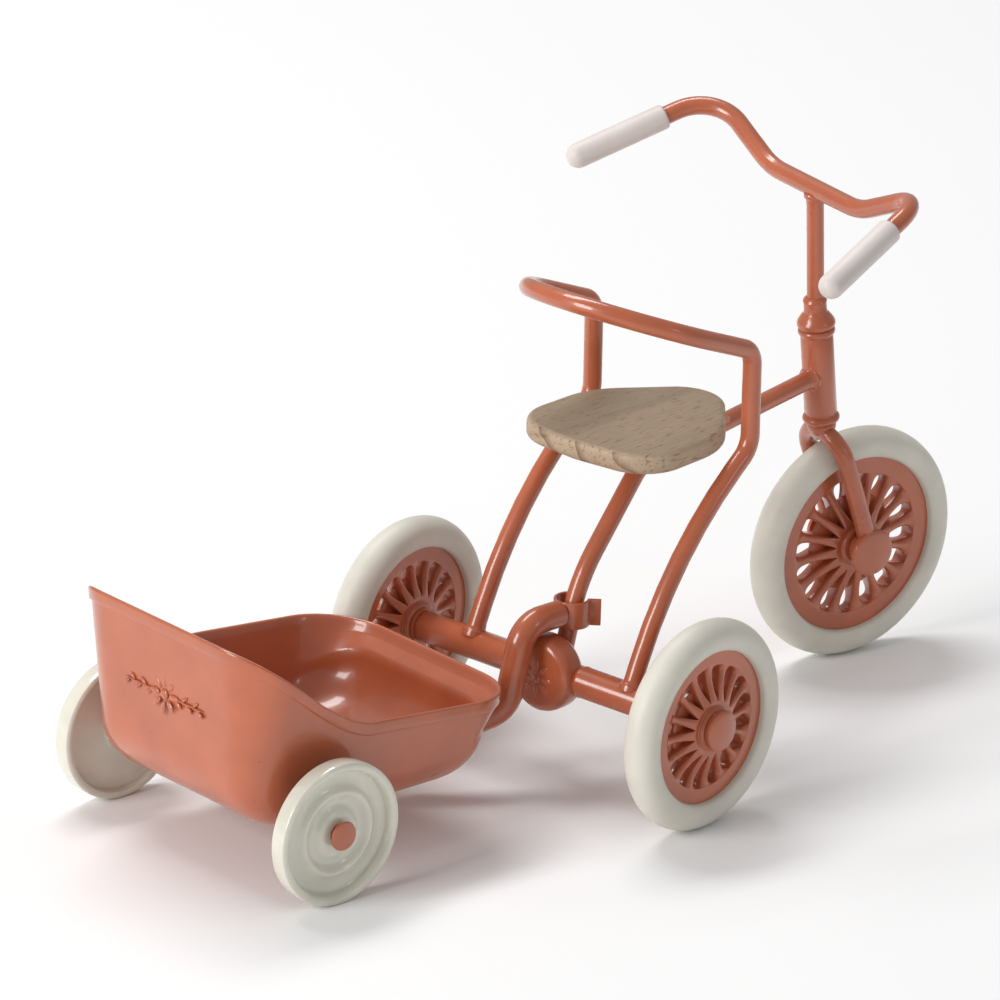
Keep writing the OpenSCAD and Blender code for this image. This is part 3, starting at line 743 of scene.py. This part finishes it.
class Grips(bpy.types.Operator):
    """Moulds the two sleeves with their rounded shoulders and domed ends"""

    bl_idname = "tricycle.grips"
    bl_label = "Grips"

    def execute(self, context):
        outline = [(1.4, 1.0), (1.5, 0.2), *arc(1.55, 0.5, 0.5, -90, 0, 6), (2.05, 3), (2.05, 15.4)]
        outline += arc(0, 15.55, 2.05, 4, 90, 12) + [(0, 15), (1.4, 15), (1.4, 1.0)]
        for side, name in ((1, "grip_left"), (-1, "grip_right")):
            start, end = [Vector((p.x, side * p.y, p.z)) for p in (GRIP_START, BAR_END)]
            place = facing(end - start, at(*start, BAR))
            sleeve = turned(name + "_moulded", outline, place, steps=64)
            finished(sleeve, "steering", grip_vinyl(), [name], smooth=60)
        return {"FINISHED"}


def slotted_disc(name, rim, hub, place):
    """A wheel disc of radius rim: a flat ring, blades between leaf slots, a stepped boss of half
    width hub, and a thin web that closes the slots' inner halves."""
    count, across = sizes().spokes, 12  # across is the number of faces across half a blade
    inner, outer = 4.4, rim * 0.81
    wide = rim * 0.094
    stops = [0.5 - 0.5 * math.cos(math.pi * i / 22) for i in range(23)]
    radii = [3.0, 3.6, 4.1] + [inner + (outer - inner) * s for s in stops]
    radii += [outer + (rim - outer) * s for s in (0.15, 0.5, 0.9, 1.0)]

    def leaf(radius):
        s = (radius - inner) / (outer - inner)
        return 0 if s <= 0 or s >= 1 else wide * 1.18 * s**0.75 * (1 - s**7) ** 0.5

    def half_blade(radius):
        return math.pi / count - math.asin(leaf(radius) / radius)

    nothing_selected()
    bpy.ops.mesh.primitive_grid_add(
        x_subdivisions=across, y_subdivisions=len(radii) - 1, size=2, location=(0, 0, 0)
    )
    disc = bpy.context.object
    disc.name = disc.data.name = name
    for v in disc.data.vertices:
        radius = radii[round((v.co.y + 1) / 2 * (len(radii) - 1))]
        turn = math.sin(v.co.x * math.pi / 2) * half_blade(radius)
        v.co = Vector((math.cos(turn), math.sin(turn), 0)) * radius * MM
    begin_edit()
    bpy.ops.mesh.select_all(action="SELECT")
    share = 2 * math.pi / count
    bpy.ops.mesh.spin(
        steps=count - 1, angle=share * (count - 1), dupli=True, center=(0, 0, 0), axis=(0, 0, 1)
    )
    merged()
    bpy.ops.mesh.extrude_region_move(TRANSFORM_OT_translate={"value": (0, 0, 2 * MM)})
    cleaned()
    for v in disc.data.vertices:
        radius = v.co.xy.length / MM
        turn = (math.atan2(v.co.y, v.co.x) + share / 2) % share - share / 2
        s = min(1, max(0, (radius - inner) / (outer - inner)))
        dip = 0.45 * s * math.sin(math.pi * min(1, s)) ** 0.8
        crown = 0.6 * (leaf(radius) / wide) * abs(turn / half_blade(max(radius, 1))) ** 3
        height = 1.5 + 0.9 * (1 - s) ** 1.4 - dip - crown
        v.co.z = (height if v.co.z > MM else -height) * MM
    boss = [(1.55, hub), (3.0, hub), (3.3, hub - 0.1), (3.45, hub - 0.3)]
    for i in range(3):
        z = hub - 0.35 - 0.3 * i
        boss += [(3.45 + 0.15 * i, z), (3.6 + 0.15 * i, z - 0.08), (3.6 + 0.15 * i, z - 0.18)]
    boss += [(4.2, 1.6), (4.2, 0.5)]
    boss = turned("boss", boss + [(r, -z) for r, z in reversed(boss)] + [(1.55, hub)])
    edge = inner + 0.5 * (outer - inner)
    sheet = [(1.55, 0.5), (edge - 0.3, 0.5), (edge, 0.2)]
    sheet += [(r, -z) for r, z in reversed(sheet)]
    web = turned("web", sheet + sheet[:1])
    return placed(joined(name, [disc, boss, web]), facing((0, 1, 0), place))


def tyre(name, outer, place):
    """A tyre ring: a round band over a disc, with a faint mould line round its crown."""
    middle, seat = outer - TYRE_SECTION_R, outer - sizes().tyre_band / MM
    cut = math.degrees(math.acos((seat - middle) / TYRE_SECTION_R))
    outline = arc(middle, 0, TYRE_SECTION_R, -cut, -1.5, 22) + [(outer, 0)]
    outline += arc(middle, 0, TYRE_SECTION_R, 1.5, cut, 22)
    outline = [(seat, outline[0][1] + 0.2)] + outline[1:-1] + [(seat, outline[-1][1] - 0.2)]
    return turned(name, outline + outline[:1], facing((0, 1, 0), place), steps=128)


def domed_cap(name, radius, height, place):
    """A pressed cap with a rounded edge and a low dome."""
    edge, side = 0.32 * height, height * 0.4
    outline = [(0, 0), (radius, 0), (radius, side), *arc(radius - edge, side, edge, 8, 66, 6)]
    top = outline[-1]
    for i in range(1, 7):
        s = i / 6
        outline.append((top[0] * (1 - s), top[1] + (height - top[1]) * (1 - (1 - s) ** 2)))
    return turned(name, outline, place, steps=64)


class TricycleWheels(bpy.types.Operator):
    """Builds the three wheels of the tricycle, with their tyres and caps"""

    bl_idname = "tricycle.wheels"
    bl_label = "Wheels"

    def execute(self, context):
        enamel, rubber = coral_enamel(), tyre_rubber()
        rear, front = sizes().rear_wheel / 2 / MM, sizes().front_wheel / 2 / MM
        band = sizes().tyre_band / MM
        wheels = [
            ("front", front, FRONT_HUB, "front_wheel", 3.0),
            ("rear_left", rear, rear_hub(1), "rear_wheel_left", 3.2),
            ("rear_right", rear, rear_hub(-1), "rear_wheel_right", 3.2),
        ]
        for name, radius, place, body, hub in wheels:
            end, _, side = name.partition("_")
            tail = "_" + side if side else ""
            disc = slotted_disc(name + "_disc_slotted", radius - band, hub, place)
            finished(disc, body, enamel, [f"{end}_disc{tail}"])
            ring = tyre(name + "_tyre_moulded", radius, place)
            finished(ring, body, rubber, [f"{end}_tyre{tail}"], smooth=50)
        rear_caps = [
            domed_cap("cap", 3.3, 1.4, facing((0, s, 0), at(0, s * 3.35, 0, rear_hub(s))))
            for s in (-1, 1)
        ]
        rear_caps = joined("rear_caps_domed", rear_caps)
        finished(rear_caps, "frame", enamel, ["rear_axle_caps"])
        front_caps = [
            domed_cap("cap", 3.9, 1.2, facing((0, s, 0), at(0, s * 5.6, 0, FRONT_HUB)))
            for s in (-1, 1)
        ]
        front_caps = joined("front_caps_domed", front_caps)
        finished(front_caps, "steering", enamel, ["front_axle_caps"])
        return {"FINISHED"}


# ---------- trailer ----------

TUB = {"back": -13.2, "front": 41.0, "half": 22.0, "floor": 9.4}
RIM_BACK, RIM_SIDE, RIM_FRONT = 43.0, 25.5, 22.8  # heights of the tub's rim
SWEEP = (-20, 12)  # where the rim's sweep down from the back starts and ends


def rim_height(x):
    """Height of the tub's rim at x: high at the back, sweeping down to the sides."""
    if x >= SWEEP[1]:
        return RIM_SIDE - (RIM_SIDE - RIM_FRONT) * (x - SWEEP[1]) / (TUB["front"] - SWEEP[1])
    u = max(0, (x - SWEEP[0]) / (SWEEP[1] - SWEEP[0]))
    return RIM_BACK - (RIM_BACK - RIM_SIDE) * u * u * (3 - 2 * u)


def tub_ring(back, front, side, grow=0.0):
    """Plan outline of the tub with its walls set in by back, front and side and then let out by
    grow, as (x, y, nx, ny)."""
    x0, x1, w = TUB["back"] + back - grow, TUB["front"] - front + grow, TUB["half"] - side + grow
    r0 = max(2.0, 8 - back * 0.5 + grow)
    r1 = max(2.5, 10 - front * 0.5 + grow)
    corners = [
        (x1 - r1, r1 - w, r1, -90, 0),
        (x1 - r1, w - r1, r1, 0, 90),
        (x0 + r0, w - r0, r0, 90, 180),
        (x0 + r0, r0 - w, r0, 180, 270),
    ]
    ring = []
    for i, (cx, cy, r, a0, a1) in enumerate(corners):
        for k in range(15):
            turn = math.radians(a0 + (a1 - a0) * k / 14)
            nx, ny = math.cos(turn), math.sin(turn)
            ring.append((cx + r * nx, cy + r * ny, nx, ny))
        after = corners[(i + 1) % 4]
        first = math.radians(after[3])
        x, y, nx, ny = ring[-1]
        to_x, to_y = after[0] + after[2] * math.cos(first), after[1] + after[2] * math.sin(first)
        steps = 24 if i % 2 else 16
        for k in range(1, steps):
            s = k / steps
            ring.append((x + (to_x - x) * s, y + (to_y - y) * s, nx, ny))
    return ring


class Tub(bpy.types.Operator):
    """Presses the tub: rounded floor, leaning walls, swept rim with a turned-out lip"""

    bl_idname = "tricycle.tub"
    bl_label = "Trailer tub"

    def execute(self, context):
        lip, sheet = sizes().rim_lip / MM, sizes().sheet / MM
        rim = [rim_height(p[0]) for p in tub_ring(0, 0, 0)]

        def band(grow, drop):
            """A row that follows the rim, let out by grow and drop below its top."""
            return [(p[0], p[1], z - drop) for p, z in zip(tub_ring(0, 0, 0, grow), rim)]

        def wall(inset, top):
            """Rows from the flat floor up a rounded foot and a straight leaning wall."""
            rows = []
            for k in range(1, 10):
                turn = math.radians(90 * k / 9)
                tuck, rise = 1 - math.sin(turn), 1 - math.cos(turn)
                back, front, side = 10.5 - inset, 10.2 - inset, 6.5 - inset
                ring = tub_ring(
                    1.8 + inset + back * tuck, 1.8 + inset + front * tuck, 1.3 + inset + side * tuck
                )
                row = []
                for x, y, nx, ny in ring:
                    foot = ny * ny * side + nx * nx * (back if nx < 0 else front)
                    row.append((x, y, TUB["floor"] + inset + foot * rise))
                rows.append(row)
            foot = rows[-1]
            for k in range(1, 9):
                rows.append([Vector(a).lerp(Vector(b), k / 8) for a, b in zip(foot, top)])
            return rows

        rows = wall(0, band(0, 2.5))
        profile = [(0.05, 2.3), (0.5, 2.15), (0.72, 1.95), (0.82, 1.2), (1.0, 0.45), (1.0, 0.2)]
        rows += [band(lip * out, drop) for out, drop in profile]
        rows += [band(lip - 0.12, 0.04), band(lip - 0.36, 0), band(lip - 0.6, 0.06)]
        rows += [band(lip - 0.72, 0.25), band(-0.35, 0.7)]
        rows += reversed(wall(sheet, band(-0.6, 1.6)))
        around, up = len(rim), len(rows)
        nothing_selected()
        bpy.ops.mesh.primitive_grid_add(x_subdivisions=around, y_subdivisions=up - 1, size=2)
        tub = bpy.context.object
        for v in tub.data.vertices:
            column = round((v.co.x + 1) / 2 * around) % around
            v.co = Vector(rows[round((v.co.y + 1) / 2 * (up - 1))][column]) * MM
        begin_edit()
        merged()
        bpy.ops.mesh.fill_holes(sides=0)
        cleaned()
        placed(tub, TRAILER)
        back = facing((-1, 0, 0.055), at(TUB["back"] + 0.78, 0, 28.5, TRAILER))
        # a flower with a leafy sprig on each side: one stem, and five leaves by turns
        relief = pressed_flower(back, 1.15)
        for side in (-1, 1):
            relief.append(petal(side * 5.2, 0, 0, 8.4, 0.34, 0.24, back))
            for k in range(5):
                below = 1 if k % 2 else -1
                x, y, tilt = side * (3.6 + 1.3 * k), 0.62 * below, side * below * 0.65
                relief.append(petal(x, y, tilt, 1.7 - 0.1 * k, 0.6, 0.32, back))
        tub = joined("tub_pressed", [tub, *relief])
        finished(tub, "trailer", coral_enamel(), ["tub"], smooth=50)
        return {"FINISHED"}


class Drawbar(bpy.types.Operator):
    """Bends the drawbar up from under the tub and wraps the hitch band round the frame"""

    bl_idname = "tricycle.drawbar"
    bl_label = "Drawbar and hitch band"

    def execute(self, context):
        thick = sizes().drawbar
        low = TUB["floor"] - thick / 2 / MM
        path = [(19, 0, low), (38, 0, low), (50.6, -7.2, 13), (53.7, -7.2, 26.2)]
        path += [(61.2, -6.9, 26.2)]
        bar = bent_rod("drawbar_bent", path, [6, 5, 4.6], thick, TRAILER)
        finished(bar, "trailer", coral_enamel(), ["drawbar"])
        for name, spots, foot in (
            ("drawbar_rivets", [(22, 0), (26, 0)], 9.0),
            ("strap_rivets", [(2.1, -10), (2.1, 10)], 8.2),
        ):
            head = [(0, foot), (1.7, foot), (1.7, 10.3), (1.6, 10.42), (1.2, 10.52), (0, 10.56)]
            heads = [turned("rivet", head, at(x, y, 0, TRAILER), steps=32) for x, y in spots]
            heads = joined(name + "_domed", heads)
            finished(heads, "trailer", coral_enamel(), [name])
        # the band is open at the front, for mouth degrees each side
        inner, wall, high, mouth = 2.4, 0.5, 4.4, 42
        ring = arc(0, 0, inner + wall, mouth, 360 - mouth, 60)
        back = arc(0, 0, inner, 360 - mouth, mouth, 60)

        def lip(side):
            """The two corners of a lip's turned-out end."""
            turn = math.radians(side * mouth)
            out = Vector((math.cos(turn), math.sin(turn)))
            across = Vector((-out.y, out.x)) * side
            tip = out * (inner + 2.2)
            return [tuple(tip), tuple(tip + across * wall)]

        outline = [*lip(1), *ring[2:-2], *reversed(lip(-1)), *back]
        band = outline_disc("hitch_band", outline, high, at(64, -6.8, 23.8, TRAILER))
        modified(
            band, "BEVEL", width=0.14 * MM, segments=3, limit_method="ANGLE",
            angle_limit=math.radians(40),
        )
        finished(band, "trailer", coral_enamel(), ["hitch_clip"])
        return {"FINISHED"}


class TrailerWheels(bpy.types.Operator):
    """Presses the trailer's two wheels with their beads, and the rivets that they turn on"""

    bl_idname = "tricycle.trailer_wheels"
    bl_label = "Trailer wheels"

    def execute(self, context):
        face = [(1.55, 0.75), (2.9, 0.75), (3.4, 0.66), (3.8, 0.36), (4.2, 0.0), (4.7, -0.14)]
        face += [(5.3, -0.06), (5.8, 0.34), (6.2, 0.68), (6.55, 0.78), (6.9, 0.64), (7.3, 0.24)]
        face += [(7.8, -0.02), (8.8, -0.1), (9.5, -0.08), (9.8, 0.1), (9.95, 0.7), (10.1, 1.2)]
        rim = [(10.35, 1.45), (10.7, 1.54), (11.1, 1.5), (11.4, 1.3), (11.5, 0.95)]
        back = [(r, -z) for r, z in reversed(rim)]
        back += [(10.15, -1.1), (10.0, -0.7), (9.7, -0.55), (3.7, -0.5), (3.4, -0.7), (3.3, -1.5)]
        back += [(1.55, -1.5), (1.55, 0.75)]
        head = [(0, 0), (2.0, 0), (2.3, 0.12), (2.35, 0.3), (2.25, 0.5), (1.9, 0.62), (0, 0.68)]
        rivets = []
        for side, name in ((1, "left"), (-1, "right")):
            place = facing((0, side, 0), trailer_hub(side))
            wheel = turned(f"trailer_wheel_{name}_pressed", face + rim + back, place, steps=128)
            finished(
                wheel, f"trailer_wheel_{name}", cream_enamel(),
                [f"trailer_wheel_{name}"],
            )
            low, high = -5.2, 1.7
            shank = [(0, low), (1.5, low), (1.5, high), (0, high)]
            rivets.append(turned("shank", shank, place, steps=32))
            rivets.append(turned("head", head, at(0, 0, high, place), steps=48))
            over = at(0, 0, low, place) @ Matrix.Rotation(math.pi, 4, "X")
            rivets.append(turned("tail", head, over))
        rivets = joined("wheel_rivets_set", rivets)
        finished(rivets, "trailer", coral_enamel(), ["wheel_rivets"])
        return {"FINISHED"}


class SmallHardware(bpy.types.Operator):
    """Paints the small pieces that come straight from the solid model"""

    bl_idname = "tricycle.small_hardware"
    bl_label = "Axles, washers, screws and straps"

    def execute(self, context):
        painted = ["seat_bracket", "axle_strap"]
        painted += ["rear_washers", "front_washers", "trailer_washers"]
        bare = ["rear_axle", "front_axle", "seat_screws", "steerer"]
        for names, material in ((painted, coral_enamel()), (bare, bare_wire())):
            for name in names:
                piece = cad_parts[name]
                piece.data.materials.clear()
                piece.data.materials.append(material)
        return {"FINISHED"}


# ---------- stage ----------

CAMERA_TURN, CAMERA_LIFT, CAMERA_ROLL = [math.radians(a) for a in (-49.49, 21.04, 1.81)]
CAMERA_AIM, CAMERA_REACH, CAMERA_LENS = Vector((44.27, 49.66, 20)) * MM, 1.5, 331.704


def soft_box(name, place, size, power, aim=(0.0, 0.01, 0.03)):
    """A rectangular soft light of size (width, height) in metres, pointing at aim."""
    nothing_selected()
    bpy.ops.object.light_add(type="AREA", location=place)
    lamp = bpy.context.object
    lamp.name = name
    lamp.data.shape = "RECTANGLE"
    lamp.data.size, lamp.data.size_y = size
    lamp.data.energy = power
    way = Vector(aim) - Vector(place)
    lamp.rotation_euler = way.to_track_quat("-Z", "Y").to_euler()


class Stage(bpy.types.Operator):
    """Lays the pale floor, hangs the soft lights and sets the camera"""

    bl_idname = "tricycle.stage"
    bl_label = "Floor, lights and camera"

    def execute(self, context):
        nothing_selected()
        bpy.ops.mesh.primitive_plane_add(size=12, location=(0, 0, 0))
        floor = bpy.context.object
        floor.name = "studio_floor"
        material, tree, shader, place = new_material("Matt white paper", Roughness=0.9)
        shader.inputs["Base Color"].default_value = (0.95, 0.95, 0.95, 1)
        fibre = node(
            tree, "ShaderNodeTexNoise", [("Vector", place)], Scale=1 / (2 * MM), Detail=2.0
        ).outputs["Fac"]
        bump = node(
            tree, "ShaderNodeBump", [("Height", fibre)], Strength=0.03, Distance=0.05 * MM
        ).outputs["Normal"]
        tree.links.new(bump, shader.inputs["Normal"])
        floor.data.materials.append(material)
        world = bpy.data.worlds.new("Studio")
        context.scene.world = world
        world.use_nodes = True
        background = world.node_tree.nodes["Background"]
        background.inputs["Color"].default_value = (1, 1, 1, 1)
        background.inputs["Strength"].default_value = 0.4
        soft_box("Key", (-1.15, 0.25, 0.5), (0.45, 0.7), 10.5)
        soft_box("Top", (0.15, 0.55, 1.1), (0.9, 0.25), 7.5)
        soft_box("Fill", (0.25, -1.3, 0.55), (0.15, 0.3), 0.5)
        context.scene.view_settings.view_transform = "Standard"
        turn, lift, roll = CAMERA_TURN, CAMERA_LIFT, CAMERA_ROLL
        back = Vector(
            (math.sin(turn) * math.cos(lift), -math.cos(turn) * math.cos(lift), math.sin(lift))
        )
        right = Vector((math.cos(turn), math.sin(turn), 0))
        up = back.cross(right)
        across = right * math.cos(roll) + up * math.sin(roll)
        upward = up * math.cos(roll) - right * math.sin(roll)
        bpy.ops.object.camera_add()
        camera = bpy.context.object
        camera.name = "Camera"
        pose = Matrix((across, upward, back)).transposed().to_4x4()
        pose.translation = CAMERA_AIM + back * CAMERA_REACH
        camera.matrix_world = pose
        camera.data.sensor_width = 36
        camera.data.lens = CAMERA_LENS
        context.scene.camera = camera
        return {"FINISHED"}


OPERATORS = (
    FrameRods, HeadTube, AxleTube, Seat, Steering, Grips, TricycleWheels,
    Tub, Drawbar, TrailerWheels, SmallHardware, Stage,
)


class TricyclePanel(bpy.types.Panel):
    """Sizes, colours and one button for each piece"""

    bl_idname = "VIEW3D_PT_tricycle"
    bl_label = "Toy tricycle"
    bl_space_type = "VIEW_3D"
    bl_region_type = "UI"
    bl_category = "Tricycle"

    def draw(self, context):
        for group in (context.scene.tricycle_sizes, context.scene.tricycle_colours):
            box = self.layout.box()
            for name in group.__annotations__:
                box.prop(group, name)
        for operator in OPERATORS:
            self.layout.operator(operator.bl_idname)


CLASSES = (TricycleSizes, TricycleColours, *OPERATORS, TricyclePanel)


def register():
    for cls in CLASSES:
        bpy.utils.register_class(cls)
    bpy.types.Scene.tricycle_sizes = PointerProperty(type=TricycleSizes)
    bpy.types.Scene.tricycle_colours = PointerProperty(type=TricycleColours)


def unregister():
    del bpy.types.Scene.tricycle_colours
    del bpy.types.Scene.tricycle_sizes
    for cls in reversed(CLASSES):
        bpy.utils.unregister_class(cls)


def main():
    register()
    for operator in OPERATORS:
        group, name = operator.bl_idname.split(".")
        getattr(getattr(bpy.ops, group), name)()


if __name__ == "__main__":
    main()
